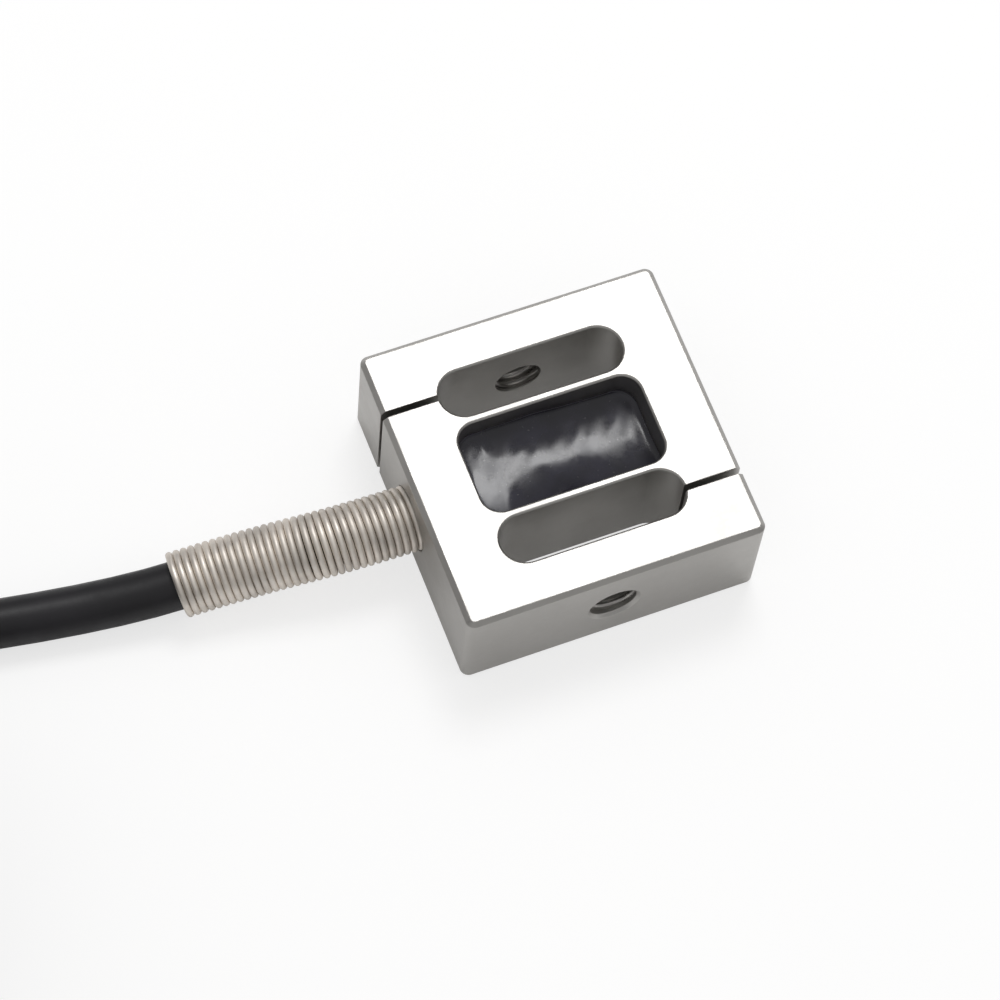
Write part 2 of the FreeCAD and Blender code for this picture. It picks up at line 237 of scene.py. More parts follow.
class CableSettings(bpy.types.PropertyGroup):
    jacket: a_colour("Jacket", "Colour of the cable's jacket", (0.0085, 0.008, 0.010))
    length: a_length("Length", "Length of the cable from the body to its free end", 1.5)
    points_per_turn: a_count("Points per Turn", "Points of the coil in each turn",
                             16, min=12, max=32)
    step: an_angle("Step", "Angle over which a turn moves to its next place in the coil",
                   math.radians(24.0))


class TieSettings(bpy.types.PropertyGroup):
    nylon: a_colour("Nylon", "Colour of the ties", (0.030, 0.030, 0.032))
    width: a_length("Width", "Width of the ties' band", 2.4 * MM)
    tooth: a_length("Tooth", "Distance between the teeth of the band", 0.5 * MM)


class LeadSettings(bpy.types.PropertyGroup):
    diameter: a_length("Diameter", "Diameter of a lead over its insulation", 0.8 * MM)
    strand: a_length("Strand", "Diameter of one strand of a lead's bare tip", 0.13 * MM)
    red: a_colour("Red", "Colour of the red lead", (0.52, 0.030, 0.026))
    green: a_colour("Green", "Colour of the green lead", (0.030, 0.27, 0.075))
    white: a_colour("White", "Colour of the white lead", (0.76, 0.75, 0.71))
    black: a_colour("Black", "Colour of the black lead", (0.022, 0.022, 0.024))


class StageSettings(bpy.types.PropertyGroup):
    floor: a_colour("Floor", "Colour of the floor", (0.94, 0.94, 0.94))
    lift: a_level("Lift", "How much whiter the floor looks than its light makes it",
                  0.075, max=0.5)
    evenness: a_level("Evenness", "How much of the floor is plain white, without the shadow",
                      0.62, max=1.0)
    sky: a_level("Sky", "Brightness of the sky overhead", 0.62, max=2.0)
    horizon: a_level("Horizon", "Brightness of the sky near the horizon", 0.24, max=2.0)
    key_power: a_level("Key Power", "Power of the overhead soft box",
                       0.68, subtype="POWER", unit="POWER")
    key_size: a_length("Key Size", "Side of the overhead soft box", 0.16)
    lens: a_level("Lens", "Focal length of the camera", 144.0, subtype="DISTANCE_CAMERA")


class LoadCellSettings(bpy.types.PropertyGroup):
    body: PointerProperty(type=BodySettings)
    potting: PointerProperty(type=PottingSettings)
    spring: PointerProperty(type=SpringSettings)
    cable: PointerProperty(type=CableSettings)
    ties: PointerProperty(type=TieSettings)
    leads: PointerProperty(type=LeadSettings)
    stage: PointerProperty(type=StageSettings)


def settings():
    """The load cell's settings, kept in the scene."""
    return bpy.context.scene.load_cell


# ---- shader nodes
def feed(tree, socket, value):
    """Set a socket, or link it where the value is another node's socket."""
    if isinstance(value, bpy.types.NodeSocket):
        tree.links.new(value, socket)
    else:
        socket.default_value = value


def add_node(tree, kind, result, modes=None, **inputs):
    """A node with its modes chosen and its inputs fed, and one of its results."""
    node = tree.nodes.new("ShaderNode" + kind)
    for mode, choice in (modes or {}).items():
        setattr(node, mode, choice)
    for name, value in inputs.items():
        feed(tree, node.inputs[name.replace("_", " ")], value)
    return node.outputs[result]


def add_math(tree, operation, first, second, kind="Math"):
    """A maths node on two values or sockets, and its result."""
    node = tree.nodes.new("ShaderNode" + kind)
    node.operation = operation
    feed(tree, node.inputs[0], first)
    feed(tree, node.inputs[1], second)
    return node.outputs["Value"]


def add_blend(tree, first, second, share):
    """The first value by its share, and the second by the rest."""
    return add_math(tree, "ADD", add_math(tree, "MULTIPLY", first, share),
                    add_math(tree, "MULTIPLY", second, 1 - share))


def add_noise(tree, vector, scale, detail=3.0, roughness=0.5):
    """A noise texture, and its value."""
    return add_node(tree, "TexNoise", "Fac",
                    Vector=vector, Scale=scale, Detail=detail, Roughness=roughness)


def add_range(tree, value, low, high, to_low=0.0, to_high=1.0):
    """A smooth map from one range to another, and its result."""
    return add_node(tree, "MapRange", "Result", {"interpolation_type": "SMOOTHSTEP"},
                    Value=value, From_Min=low, From_Max=high, To_Min=to_low, To_Max=to_high)


def add_mix(tree, factor, first, second):
    """A blend of two colours, and its result."""
    node = tree.nodes.new("ShaderNodeMix")
    node.data_type = "RGBA"
    feed(tree, node.inputs["Factor"], factor)
    feed(tree, node.inputs[6], first)
    feed(tree, node.inputs[7], second)
    return node.outputs[2]


def add_bump(tree, height, distance, strength=1.0, **normal):
    """A bump node, and its normal."""
    return add_node(tree, "Bump", "Normal",
                    Height=height, Distance=distance, Strength=strength, **normal)


def object_coordinates(tree):
    """Coordinates fixed to the object."""
    return add_node(tree, "TexCoord", "Object")


# ---- shared node groups
SOCKET_KINDS = {"Colour": "Color", "Drift": "Color", "Normal": "Vector"}


def new_group(name, inputs, outputs):
    """An empty group with its sockets: itself, what it's given and what it puts out."""
    group = bpy.data.node_groups.new(name, "ShaderNodeTree")
    for way, labels in (("INPUT", inputs), ("OUTPUT", outputs)):
        for label in labels:
            kind = "NodeSocket" + SOCKET_KINDS.get(label, "Float")
            group.interface.new_socket(label, in_out=way, socket_type=kind)
    given = group.nodes.new("NodeGroupInput").outputs
    return group, given, group.nodes.new("NodeGroupOutput").inputs


def make_drift_group(name):
    """Slow drift between two colours."""
    group, given, result = new_group(name, ("Colour", "Drift", "Scale"), ("Colour",))
    noise = add_noise(group, object_coordinates(group), given["Scale"], 4.0, 0.55)
    mask = add_range(group, noise, 0.34, 0.68)
    feed(group, result["Colour"], add_mix(group, mask, given["Colour"], given["Drift"]))


def make_grain_group(name):
    """Fine grain as a normal."""
    group, given, result = new_group(name, ("Scale", "Height"), ("Normal",))
    noise = add_noise(group, object_coordinates(group), given["Scale"], 5.0, 0.62)
    feed(group, result["Normal"], add_bump(group, noise, given["Height"]))


def make_handling_group(name):
    """Roughness that varies with handling: broad smears and small marks."""
    group, given, result = new_group(name, ("Low", "High", "Scale"), ("Roughness",))
    where = object_coordinates(group)
    broad = add_noise(group, where, given["Scale"])
    fine = add_noise(group, where, add_math(group, "MULTIPLY", given["Scale"], 9.0), 2.0, 0.7)
    marks = add_blend(group, broad, fine, 0.7)
    feed(group, result["Roughness"],
         add_range(group, marks, 0.36, 0.64, given["Low"], given["High"]))


def make_edge_group(name):
    """A mask that is high along sharp edges, broken up as real wear is."""
    group, given, result = new_group(name, ("Reach", "Breakup"), ("Mask", "Normal"))
    rounded = add_node(group, "Bevel", "Normal", {"samples": 4}, Radius=given["Reach"])
    true = add_node(group, "NewGeometry", "Normal")
    turned = add_math(group, "DOT_PRODUCT", rounded, true, "VectorMath")
    edge = add_range(group, turned, 0.995, 0.86)
    noise = add_noise(group, object_coordinates(group), given["Breakup"], 4.0, 0.6)
    broken = add_math(group, "MULTIPLY", edge, add_range(group, noise, 0.25, 0.6))
    feed(group, result["Mask"], broken)
    feed(group, result["Normal"], rounded)


GROUP_MAKERS = {
    "Colour Drift": make_drift_group,
    "Fine Grain": make_grain_group,
    "Handling": make_handling_group,
    "Worn Edges": make_edge_group,
}


def add_group(tree, name, **values):
    """A shared group in a material, with its own values, and its outputs."""
    if name not in bpy.data.node_groups:
        GROUP_MAKERS[name](name)
    node = tree.nodes.new("ShaderNodeGroup")
    node.node_tree = bpy.data.node_groups[name]
    for label, value in values.items():
        node.inputs[label].default_value = value
    return node.outputs


# ---- materials
def toned(colour, factor):
    """A colour made lighter or darker."""
    return [min(1.0, channel * factor) for channel in colour]


def rgba(colour, factor=1.0):
    """A colour with full alpha, made lighter or darker."""
    return (*toned(colour, factor), 1.0)


def plain_finish(name, colour, drift, scale, gloss, grain=None, metallic=0.0, gloss_scale=None):
    """A finish of drifting colour, least and most roughness, and grain's scale and height."""
    material = bpy.data.materials.new(name)
    material.use_nodes = True
    tree = material.node_tree
    shader = tree.nodes["Principled BSDF"].inputs
    shader["Metallic"].default_value = metallic
    colours = add_group(tree, "Colour Drift",
                        Colour=rgba(colour), Drift=rgba(drift), Scale=scale)
    feed(tree, shader["Base Color"], colours["Colour"])
    handled = add_group(tree, "Handling",
                        Low=gloss[0], High=gloss[1], Scale=gloss_scale or scale * 0.8)
    feed(tree, shader["Roughness"], handled["Roughness"])
    if grain:
        grained = add_group(tree, "Fine Grain", Scale=grain[0], Height=grain[1])
        feed(tree, shader["Normal"], grained["Normal"])
    return material, tree, shader


def lay_over(tree, shader, mask, colour):
    """Lay a colour over a finish's own where a mask is high."""
    under = shader["Base Color"].links[0].from_socket
    feed(tree, shader["Base Color"], add_mix(tree, mask, under, colour))


def body_material():
    """Satin machined steel with fine cutter lines and bright, slightly worn edges."""
    look = settings().body
    material, tree, shader = plain_finish(
        "satin machined steel", look.steel, toned(look.steel, 0.94), metallic=1.0,
        scale=160.0, gloss=(0.36, 0.46), gloss_scale=240.0)
    edges = add_group(tree, "Worn Edges", Reach=0.10 * MM, Breakup=1200.0)
    lay_over(tree, shader, edges["Mask"], rgba(look.steel, 1.18))
    where = object_coordinates(tree)
    along_cuts = add_node(tree, "Mapping", "Vector", Vector=where, Scale=(1.0, 22.0, 22.0))
    lines = add_noise(tree, along_cuts, 420.0, 3.0, 0.6)
    grain = add_noise(tree, where, 5200.0, 4.0, 0.6)
    height = add_blend(tree, lines, grain, 0.55)
    feed(tree, shader["Normal"], add_bump(tree, height, look.grain, Normal=edges["Normal"]))
    return material


def thread_material():
    """Cut thread: the body's steel darkened as painted shade of the hole, drifting at random to
    a darker tone.
    """
    steel = settings().body.steel
    # Both tones are darker than the body's steel: painted shade of the hole, not placed by crest
    # or root.
    return plain_finish(
        "cut thread", toned(steel, 0.86), toned(steel, 0.70), metallic=1.0,
        scale=900.0, gloss=(0.26, 0.38), grain=(5200.0, 0.003 * MM))[0]


def potting_material():
    """Glossy compound with a faint cloud in it, sparse dust and a rippled skin."""
    look = settings().potting
    material, tree, shader = plain_finish(
        "glossy potting compound", look.compound, toned(look.compound, 1.9),
        scale=420.0, gloss=(0.11, 0.24), gloss_scale=700.0, grain=(3600.0, 0.0004 * MM))
    specks = add_noise(tree, object_coordinates(tree), 4200.0, 1.0, 0.4)
    dusty = add_range(tree, specks, 0.72, 0.80, 0.0, 0.16)
    lay_over(tree, shader, dusty, (0.30, 0.29, 0.28, 1.0))
    ripple = add_noise(tree, object_coordinates(tree), 520.0, 1.0, 0.4)
    skin = shader["Normal"].links[0].from_socket
    feed(tree, shader["Normal"], add_bump(tree, ripple, 0.028 * MM, 0.7, Normal=skin))
    return material


def spring_material():
    """Drawn wire with a fine grain and a slight warm tarnish."""
    colour = settings().spring.colour
    return plain_finish(
        "drawn spring wire", colour, toned(colour, 0.78), metallic=1.0,
        scale=520.0, gloss=(0.46, 0.60), grain=(6500.0, 0.002 * MM))[0]


def jacket_material():
    """Black jacket with a satin skin and faint scuffs."""
    jacket = settings().cable.jacket
    material, _, shader = plain_finish(
        "cable jacket", jacket, toned(jacket, 1.5),
        scale=240.0, gloss=(0.40, 0.55), grain=(3800.0, 0.006 * MM))
    shader["Specular IOR Level"].default_value = 0.36
    return material


def nylon_material():
    """Moulded nylon with a soft sheen and paler, rubbed edges."""
    nylon = settings().ties.nylon
    material, tree, shader = plain_finish(
        "moulded nylon", nylon, toned(nylon, 1.45),
        scale=500.0, gloss=(0.38, 0.50), grain=(2900.0, 0.007 * MM))
    edges = add_group(tree, "Worn Edges", Reach=0.09 * MM, Breakup=2200.0)
    lay_over(tree, shader, edges["Mask"], rgba(nylon, 2.2))
    return material


def insulation_material(colour_name):
    """Smooth insulation in one of its colours, made the first time that it's wanted."""
    name = colour_name + " insulation"
    colour = getattr(settings().leads, colour_name)
    return bpy.data.materials.get(name) or plain_finish(
        name, colour, toned(colour, 0.82),
        scale=600.0, gloss=(0.34, 0.46), grain=(3000.0, 0.005 * MM))[0]


def board_material():
    """Green laminate with a woven glass pattern showing through."""
    material, tree, shader = plain_finish(
        "green laminate", (0.030, 0.15, 0.055), (0.050, 0.20, 0.075),
        scale=500.0, gloss=(0.30, 0.42), grain=(2600.0, 0.005 * MM))
    weave = add_node(tree, "TexWave", "Fac", Vector=object_coordinates(tree), Scale=900.0)
    lay_over(tree, shader, add_math(tree, "MULTIPLY", weave, 0.22), (0.12, 0.32, 0.14, 1.0))
    return material


def gauge_material():
    """Amber film over the fine foil grid of a strain gauge."""
    material, tree, shader = plain_finish(
        "gauge film and foil", (0.46, 0.25, 0.06), (0.36, 0.18, 0.04),
        scale=700.0, gloss=(0.22, 0.34), grain=(2600.0, 0.003 * MM))
    lines = add_node(tree, "TexWave", "Fac", {"bands_direction": "Z"},
                     Vector=object_coordinates(tree), Scale=1250.0)
    lay_over(tree, shader, add_range(tree, lines, 0.45, 0.62, 0.0, 0.85),
             (0.48, 0.46, 0.42, 1.0))
    return material


# Finishes that no setting changes and nothing is laid over.
PLAIN_FINISHES = {
    "shrunk sleeving": dict(
        colour=(0.030, 0.030, 0.032), drift=(0.048, 0.047, 0.046),
        scale=420.0, gloss=(0.52, 0.66), grain=(2600.0, 0.010 * MM)),
    "tinned strands": dict(
        colour=(0.66, 0.65, 0.61), drift=(0.50, 0.47, 0.42), metallic=1.0,
        scale=900.0, gloss=(0.26, 0.40), grain=(7000.0, 0.002 * MM)),
    "solder": dict(
        colour=(0.64, 0.64, 0.65), drift=(0.48, 0.48, 0.50), metallic=1.0,
        scale=1500.0, gloss=(0.18, 0.42), grain=(2400.0, 0.010 * MM)),
    "enamelled copper": dict(
        colour=(0.50, 0.17, 0.06), drift=(0.40, 0.12, 0.04), metallic=1.0,
        scale=1200.0, gloss=(0.20, 0.32), grain=(6000.0, 0.002 * MM)),
}


def plain_material(name):
    """One of the plain finishes."""
    return plain_finish(name, **PLAIN_FINISHES[name])[0]


# ---- pieces
def add_object(name, data):
    """A new object in the scene."""
    piece = bpy.data.objects.new(name, data)
    bpy.context.scene.collection.objects.link(piece)
    return piece


def mesh_piece(name, points, faces):
    """A smooth-shaded mesh object with its faces turned outwards."""
    mesh = bpy.data.meshes.new(name)
    mesh.from_pydata([tuple(point) for point in points], [], faces)
    shell = bmesh.new()
    shell.from_mesh(mesh)
    bmesh.ops.recalc_face_normals(shell, faces=shell.faces)
    shell.to_mesh(mesh)
    shell.free()
    mesh.shade_smooth()
    return add_object(name, mesh)


def join_parts(name, parts):
    """One object from several sets of points and faces."""
    points = []
    faces = []
    for more_points, more_faces in parts:
        shift = len(points)
        points += more_points
        faces += [tuple(shift + index for index in face) for face in more_faces]
    return mesh_piece(name, points, faces)


def settle(piece, material, slot, *nodes):
    """Give a piece its material and hide the frame nodes that it stands for; its slot is not
    used.
    """
    piece.data.materials.append(material)
    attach(piece, "root")
    if nodes:
        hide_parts(*nodes)


def finish_node(name, material):
    """Give a node of the frame its material."""
    for material_slot in frame["nodes"][name].material_slots:
        material_slot.material = material


# ---- lines and faces
def eased(part):
    """A smooth step from 0 to 1."""
    part = min(1.0, max(0.0, part))
    return part * part * (3 - 2 * part)


def nurbs_curve(name, points, bevel=0.0, bevel_resolution=4, resolution=5):
    """A smooth open curve with a route's points as its control points, round if bevelled."""
    curve = bpy.data.curves.new(name, "CURVE")
    curve.dimensions = "3D"
    spline = curve.splines.new("NURBS")
    spline.points.add(len(points) - 1)
    for control, point in zip(spline.points, points):
        control.co = (*point, 1.0)
    spline.order_u = 3
    spline.use_endpoint_u = True
    spline.resolution_u = resolution
    curve.bevel_depth = bevel
    if bevel:
        curve.bevel_resolution = bevel_resolution
        curve.use_fill_caps = True
    return curve


def smooth_line(points):
    """Points along the smooth curve of a route."""
    curve = nurbs_curve("line", points, resolution=LINE_STEPS)
    holder = add_object("line", curve)
    bpy.context.view_layer.update()
    line = bpy.data.meshes.new_from_object(holder)
    found = [vertex.co.copy() for vertex in line.vertices]
    bpy.data.objects.remove(holder)
    bpy.data.curves.remove(curve)
    bpy.data.meshes.remove(line)
    return found


class Track:
    """A line with a steady frame along it, read by distance from its start."""

    def __init__(self, points):
        self.points = points
        self.reach = [0.0]
        for before, after in zip(points, points[1:]):
            self.reach.append(self.reach[-1] + (after - before).length)
        self.length = self.reach[-1]
        along = (points[1] - points[0]).normalized()
        side = along.cross(Vector((0, 0, 1))).normalized()
        self.axes = []
        for before, after in zip(points[:1] + points, points[1:] + points[-1:]):
            along = (after - before).normalized()
            side = (side - along * side.dot(along)).normalized()
            self.axes.append((along, side))

    def at(self, distance):
        """The point at a distance along the line, and the two directions across it."""
        index = bisect.bisect_left(self.reach, distance) - 1
        index = min(max(index, 0), len(self.reach) - 2)
        span = self.reach[index + 1] - self.reach[index]
        part = (distance - self.reach[index]) / span
        (first_along, first_side), (next_along, next_side) = self.axes[index:index + 2]
        point = self.points[index].lerp(self.points[index + 1], part)
        along = first_along.lerp(next_along, part).normalized()
        side = first_side.lerp(next_side, part)
        side = (side - along * side.dot(along)).normalized()
        return point, side, along.cross(side)

    def distance_to_x(self, x):
        """How far along the line it reaches a place on the X axis."""
        for point, reach in zip(self.points, self.reach):
            if point.x <= x:
                return reach
        raise ValueError("the line doesn't reach that place on the X axis")


def around(point, side, up, radius, turn):
    """A place round a point, in the plane of two directions."""
    return point + (side * math.cos(turn) + up * math.sin(turn)) * radius


def circle(point, side, up, radius, sides):
    """A ring of places round a point."""
    return [around(point, side, up, radius, 2 * math.pi * step / sides) for step in range(sides)]


def helix(track, start, end, radius, pitch, per_turn, phase):
    """Points of a helix round a track, between two distances along it."""
    count = max(2, round((end - start) / pitch * per_turn))
    found = []
    for index in range(count + 1):
        distance = start + (end - start) * index / count
        turn = phase + 2 * math.pi * (distance - start) / pitch
        found.append(around(*track.at(distance), radius, turn))
    return found


def ring_faces(rings, sides, closed=False):
    """Faces between rings of points, and from the last to the first where they close."""
    faces = []
    for ring in range(rings if closed else rings - 1):
        this = ring * sides
        following = (ring + 1) % rings * sides
        for step in range(sides):
            beside = (step + 1) % sides
            faces.append((this + step, this + beside, following + beside, following + step))
    return faces


def tube_faces(rings, sides):
    """Faces of a closed bar: between its rings of points, and over its two ends."""
    last = (rings - 1) * sides
    return [tuple(range(sides)), *ring_faces(rings, sides), tuple(range(last, last + sides))]


def bar_mesh(line, radius, sides):
    """Points and faces of a round bar along a line, with its ends rounded off."""
    track = Track(line)
    margin = BAR_END[-1][0] * radius
    stations = [(inward * radius, size) for inward, size in BAR_END]
    stations += [(reach, 1.0) for reach in track.reach[1:-1]
                 if margin < reach < track.length - margin]
    stations += [(track.length - inward * radius, size) for inward, size in reversed(BAR_END)]
    points = []
    for distance, size in stations:
        points += circle(*track.at(distance), radius * size, sides)
    return points, tube_faces(len(stations), sides)


def bars_piece(name, lines, radius, sides):
    """One object of several round bars."""
    return join_parts(name, [bar_mesh(line, radius, sides) for line in lines])


def lathe_piece(name, origin, along, profile, sides=48):
    """A turned piece: a closed profile of distance along the axis and radius."""
    side = along.cross(Vector((0, 0, 1))).normalized()
    up = along.cross(side)
    points = []
    for distance, radius in profile:
        points += circle(origin + along * distance, side, up, radius, sides)
    return mesh_piece(name, points, ring_faces(len(profile), sides, closed=True))


def rounded_corners(half_x, half_y, radius, steps):
    """The corners of a rounded rectangle round its middle, an arc of points each."""
    corners = []
    for sign_x, sign_y, first in ((1, 1, 0), (-1, 1, 90), (-1, -1, 180), (1, -1, 270)):
        turns = [math.radians(first + 90 * step / steps) for step in range(steps + 1)]
        corners.append([(sign_x * (half_x - radius) + radius * math.cos(turn),
                         sign_y * (half_y - radius) + radius * math.sin(turn))
                        for turn in turns])
    return corners


# ---- threads
def thread_ridge(mount, pitch, crest):
    """The closed helical ridge of one load thread, faded out at its ends."""
    middle = Vector(mount["pos_m"])
    outward = Vector(mount["axis"])
    side = Vector((1, 0, 0))
    up = outward.cross(side)
    root = mount["dims"]["r_mm"] * MM + RIDGE_SINK
    half_foot, half_crest = RIDGE_FOOT * pitch, RIDGE_CREST * pitch
    length = mount["dims"]["length_mm"] * MM - 2 * half_foot
    turns = length / pitch
    count = round(turns * RIDGE_STEPS)
    section = ((-half_foot, root), (half_foot, root), (half_crest, crest), (-half_crest, crest))
    points = []
    for index in range(count + 1):
        height = length * (index / count - 0.5)
        turn = 2 * math.pi * turns * index / count
        fade = max(RIDGE_LEAST, eased(index / (RIDGE_STEPS * RIDGE_FIRST_FADE))
                   * eased((count - index) / (RIDGE_STEPS * RIDGE_LAST_FADE)))
        for offset, radius in section:
            centre = middle + outward * (height + offset)
            points.append(around(centre, side, up, root - (root - radius) * fade, turn))
    return points, tube_faces(count + 1, len(section))


class LOADCELL_OT_body(bpy.types.Operator):
    """Give the machined body its finish, and cut the threads of its two load holes"""
    bl_idname = "loadcell.body"
    bl_label = "Body and Threads"

    def execute(self, context):
        look = settings().body
        finish_node("s_beam_body", body_material())
        material = thread_material()
        for name in ("load_thread_near", "load_thread_far"):
            points, faces = thread_ridge(MOUNTS[name], look.thread_pitch, look.thread_crest)
            ridge = mesh_piece(name + "_ridge", points, faces)
            settle(ridge, material, "stainless_body")
        return {"FINISHED"}


# ---- cavity
def inset_depth(x, y, half_x, half_y):
    """How far a point lies inside the cavity's rounded outline."""
    over_x = abs(x) - (half_x - CAVITY_CORNER)
    over_y = abs(y) - (half_y - CAVITY_CORNER)
    inside = min(max(over_x, over_y), 0.0)
    return CAVITY_CORNER - inside - math.hypot(max(over_x, 0.0), max(over_y, 0.0))


def compound_rise(x, y, half_x, half_y):
    """Height of the compound over its lowest line: a trough, a thin edge and faint waves."""
    inset = max(inset_depth(x, y, half_x, half_y), 0.0) / MM
    x, y = x / MM, y / MM
    across = y - 0.30 + 0.35 * eased((-x - 2.6) / 2.0)
    steepness = 0.055 + 0.035 * math.exp(-((x + 0.6) / 1.7) ** 2) - 0.026 * eased(-x - 3.2)
    edge = 0.20 * math.exp(-inset / 0.15)
    waves = (0.007 * math.sin(2.2 * x + 0.9 * y)
             + 0.0022 * math.sin(5.1 * x - 3.2 * y + 1.0))
    return (steepness * across * across + edge + waves) * MM


def cavity_outline(half_x, half_y):
    """Points round the cavity's outline: its corners, and the straight sides between them."""
    corners = rounded_corners(half_x, half_y, CAVITY_CORNER, CORNER_STEPS)
    side_steps = (LONG_SIDE_STEPS, SHORT_SIDE_STEPS) * 2
    outline = []
    for index, (corner, steps) in enumerate(zip(corners, side_steps)):
        start, end = corner[-1], corners[(index + 1) % 4][0]
        outline += corner
        outline += [(start[0] + (end[0] - start[0]) * step / steps,
                     start[1] + (end[1] - start[1]) * step / steps)
                    for step in range(1, steps)]
    return outline


def compound_piece(dish, slant, rings):
    """The potting compound: a closed block with a sunk, slightly uneven face on each side."""
    middle = (POTTING_LOW + POTTING_HIGH) / 2
    half = (POTTING_HIGH - POTTING_LOW) / 2
    outline = cavity_outline(half.x, half.y)
    count = len(outline)
    fan = (rings - 1) * count
    face_points = rings * count + 1
    sizes = [(1 - ring / rings) ** RING_SPREAD for ring in range(rings)]
    places = [(x * size, y * size) for size in sizes for x, y in outline] + [(0.0, 0.0)]
    one_face = ring_faces(rings, count)
    one_face += [(fan + step, fan + (step + 1) % count, rings * count) for step in range(count)]
    points = []
    faces = []
    for side, rim in ((1, POTTING_HIGH.z), (-1, POTTING_LOW.z)):
        faces += [tuple(len(points) + index for index in face) for face in one_face]
        for x, y in places:
            rise = compound_rise(x, y, half.x, half.y) - slant * x / half.x
            points.append((middle.x + x, middle.y + y, rim + side * (rise - dish)))
    for step in range(count):
        beside = (step + 1) % count
        faces.append((step, beside, face_points + beside, face_points + step))
    return mesh_piece("potting_face", points, faces)


class LOADCELL_OT_cavity(bpy.types.Operator):
    """Fill the cavity with compound, and finish the gauges, board and wires in it"""
    bl_idname = "loadcell.cavity"
    bl_label = "Potted Cavity"

    def execute(self, context):
        look = settings().potting
        compound = compound_piece(look.dish, look.slant, look.rings)
        settle(compound, potting_material(), "potting", "potting_compound")
        gauge = gauge_material()
        for row in ("upper", "lower"):
            for column in ("left", "right"):
                finish_node("strain_gauge_" + row + "_" + column, gauge)
        finish_node("terminal_board", board_material())
        finish_node("solder_joints", plain_material("solder"))
        finish_node("jumper_wires", plain_material("enamelled copper"))
        for colour in ("red", "black", "green", "white"):
            finish_node("conductor_" + colour, insulation_material(colour))
        return {"FINISHED"}


# ---- spring
class LOADCELL_OT_spring(bpy.types.Operator):
    """Wind the strain relief spring round the cable, seated in the body's side"""
    bl_idname = "loadcell.spring"
    bl_label = "Strain Relief Spring"

    def execute(self, context):
        look = settings().spring
        track = Track(smooth_line(CABLE_ROUTE))
        start = track.distance_to_x(SPRING_HIGH.x - look.wire / 2)
        end = track.distance_to_x(SPRING_LOW.x + look.wire)
        radius = CABLE_RADIUS + look.clearance + look.wire / 2
        pitch = (end - start) / round((end - start) / look.wire)
        line = helix(track, start, end, radius, pitch, look.points_per_turn, look.end_turn)
        spring = bars_piece("spring_wire", [line], look.wire / 2, 10)
        settle(spring, spring_material(), "spring_wire", "strain_relief_spring")
        return {"FINISHED"}


# ---- ties
def coil_point(angle, distance, z):
    """A point from its angle in degrees and distance about the coil's middle."""
    middle = Vector((COIL_MIDDLE.x, COIL_MIDDLE.y, z))
    return around(middle, Vector((1, 0, 0)), Vector((0, 1, 0)), distance, math.radians(angle))


def tie_point(angle, radial, along, z):
    """A point across the coil at a tie: outward, along the cable and up."""
    turn = math.radians(angle)
    onward = Vector((-math.sin(turn), math.cos(turn), 0))
    return coil_point(angle, COIL_MID_RADIUS + radial, z) + onward * along


def tie_loop(half_width, low, high, radius):
    """A rounded loop across the coil, as distance out from its middle turns and height."""
    middle = (low + high) / 2
    corners = rounded_corners(half_width, (high - low) / 2, radius, TIE_CORNER_STEPS)
    return [(across, middle + z) for corner in corners for across, z in corner]


def tie_bar(angle, rows, width, closed=False):
    """Points and faces of a bar on a tie, from its rows' near and far edges."""
    points = []
    for near, far in rows:
        for (radial, z), along in ((near, -0.5), (far, -0.5), (far, 0.5), (near, 0.5)):
            points.append(tie_point(angle, radial, along * width, z))
    return points, ring_faces(len(rows), 4, True) if closed else tube_faces(len(rows), 4)


def tie_band(angle, width):
    """The band round the turns."""
    half = (TURN_COLUMNS - 1) * TURN_PITCH / 2 + CABLE_RADIUS - TIE_SQUEEZE
    top = COIL_TOP - TIE_SQUEEZE
    inner = tie_loop(half, TIE_THICKNESS, top, CABLE_RADIUS)
    outer = tie_loop(half + TIE_THICKNESS, 0.0, top + TIE_THICKNESS,
                     CABLE_RADIUS + TIE_THICKNESS)
    return tie_bar(angle, list(zip(inner, outer)), width, closed=True)


def tie_stub(angle, low, high, width, tooth):
    """The cut end of the band that stands out of the head, toothed on one face."""
    teeth = max(2, round((high - low) / tooth))
    spacing = (high - low) / teeth
    rows = []
    for index in range(teeth):
        z = low + spacing * index
        for height, thick in ((z, TIE_THICKNESS * TOOTH_ROOT),
                              (z + spacing * TOOTH_RAMP, TIE_THICKNESS)):
            rows.append(((STUB_OUT, height), (STUB_OUT + thick, height)))
    return tie_bar(angle, rows, width)


def make_tie(name, angle, material):
    """A nylon tie: band, head with its slot's rim, and the cut end of its band."""
    look = settings().ties
    seat = COIL_TOP - TIE_SQUEEZE + TIE_THICKNESS
    top = seat + HEAD_HEIGHT
    head = [((-HEAD_REACH, z), (HEAD_REACH, z)) for z in (seat, top - RIM_STEP)]
    rim = [((RIM_NEAR, z), (RIM_FAR, z)) for z in (top - RIM_HEIGHT, top)]
    tie = join_parts(name + "_nylon", [
        tie_band(angle, look.width),
        tie_bar(angle, head, HEAD_WIDTH),
        tie_bar(angle, rim, look.width),
        tie_stub(angle, top - STUB_DEPTH, top + STUB_HEIGHT, look.width * STUB_FIT, look.tooth),
    ])
    edges = tie.modifiers.new("edges", "BEVEL")
    edges.width = TIE_EDGE
    edges.segments = 2
    edges.limit_method = "ANGLE"
    edges.angle_limit = math.radians(35)
    edges.harden_normals = True
    settle(tie, material, "nylon_tie", name)


class LOADCELL_OT_ties(bpy.types.Operator):
    """Put the two nylon ties round the coil"""
    bl_idname = "loadcell.ties"
    bl_label = "Nylon Ties"

    def execute(self, context):
        material = nylon_material()
        for name, angle in TIE_ANGLES.items():
            make_tie(name, angle, material)
        return {"FINISHED"}


# ---- stripped end
def on_coil(route):
    """A route of angle, distance and height over the coil's top, as points."""
    return [coil_point(angle, distance * MM, COIL_TOP + lift * MM)
            for angle, distance, lift in route]


